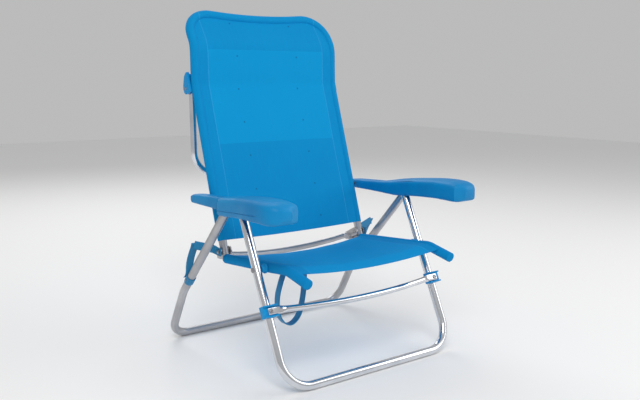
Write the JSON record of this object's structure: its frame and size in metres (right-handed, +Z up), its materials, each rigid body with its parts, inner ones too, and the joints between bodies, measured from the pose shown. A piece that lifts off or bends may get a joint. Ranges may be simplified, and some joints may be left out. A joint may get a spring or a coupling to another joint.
{
  "type": "folding beach chair",
  "caption": "Low folding beach chair with tube legs, woven seat and back, moulded notched armrests and a swing-out rear support leg.",
  "frame": {"origin": "middle of the bounding box at floor level", "axes": "+Z up, -Y the way the sitter faces, +X the sitter's left"},
  "size_m": [0.666, 0.5829, 0.9085],
  "materials": {
    "polished_tube": "polished",
    "satin_tube": "satin",
    "woven_mesh": "woven mesh",
    "webbing": "woven webbing",
    "moulding": "moulded, satin",
    "fastener": "plain"
  },
  "bodies": {
    "front_leg": {"front_leg_frame": "polished_tube", "front_crossbar": "polished_tube", "saddle_left": "moulding", "saddle_right": "moulding", "saddle_rivet_left": "fastener", "saddle_rivet_right": "fastener", "leg_pivot_pin_left": "fastener", "leg_pivot_pin_right": "fastener", "seat_pivot_bolt_left": "fastener", "seat_pivot_bolt_right": "fastener", "seat_spacer_left": "moulding", "seat_spacer_right": "moulding"},
    "rear_leg": {"rear_leg_frame": "satin_tube", "limit_strap_left": "webbing", "limit_strap_right": "webbing"},
    "seat": {"seat_cover": "woven_mesh", "rear_crossbar": "satin_tube", "carry_strap": "webbing", "seat_rail_left": "satin_tube", "seat_rail_right": "satin_tube", "tail_rivet_left": "fastener", "tail_rivet_right": "fastener", "hinge_washer_left": "fastener", "hinge_washer_right": "fastener", "hinge_pin_left": "fastener", "hinge_pin_right": "fastener"},
    "backrest": {"backrest_frame": "satin_tube", "backrest_cover": "woven_mesh", "back_pocket": "woven_mesh", "stand_bracket_left": "moulding", "stand_bracket_right": "moulding", "stand_pin_left": "fastener", "stand_pin_right": "fastener", "armrest_pin_left": "fastener", "armrest_pin_right": "fastener"},
    "armrests": {"armrest_left": "moulding", "armrest_right": "moulding"},
    "stand": {"stand_frame": "polished_tube"}
  },
  "joints": [
    {"name": "seat_fold", "type": "hinge", "parent": "front_leg", "child": "seat", "pos_m": [0, -0.131, 0.275], "axis": [1, 0, 0], "range_deg": [-82, 0], "deforming": ["carry_strap"]},
    {"name": "rear_leg_fold", "type": "hinge", "parent": "front_leg", "child": "rear_leg", "pos_m": [0, -0.06, 0.424], "axis": [1, 0, 0], "range_deg": [-58.5, 0.5], "deforming": ["limit_strap_left", "limit_strap_right"]},
    {"name": "backrest_fold", "type": "hinge", "parent": "seat", "child": "backrest", "pos_m": [0, 0.085, 0.277], "axis": [1, 0, 0], "range_deg": [-0.5, 80.5]},
    {"name": "armrest_fold", "type": "hinge", "parent": "backrest", "child": "armrests", "pos_m": [0, 0.129, 0.414], "axis": [1, 0, 0], "range_deg": [-96.5, 0.5]},
    {"name": "stand_swing", "type": "hinge", "parent": "backrest", "child": "stand", "pos_m": [0, 0.24448, 0.69593], "axis": [1, 0, 0], "range_deg": [-10, 75]}
  ],
  "couplings": [
    {"joint": "rear_leg_fold", "follows": "seat_fold", "ratio": 0.70732},
    {"joint": "backrest_fold", "follows": "seat_fold", "ratio": -0.97561},
    {"joint": "armrest_fold", "follows": "seat_fold", "ratio": 1.1707}
  ]
}
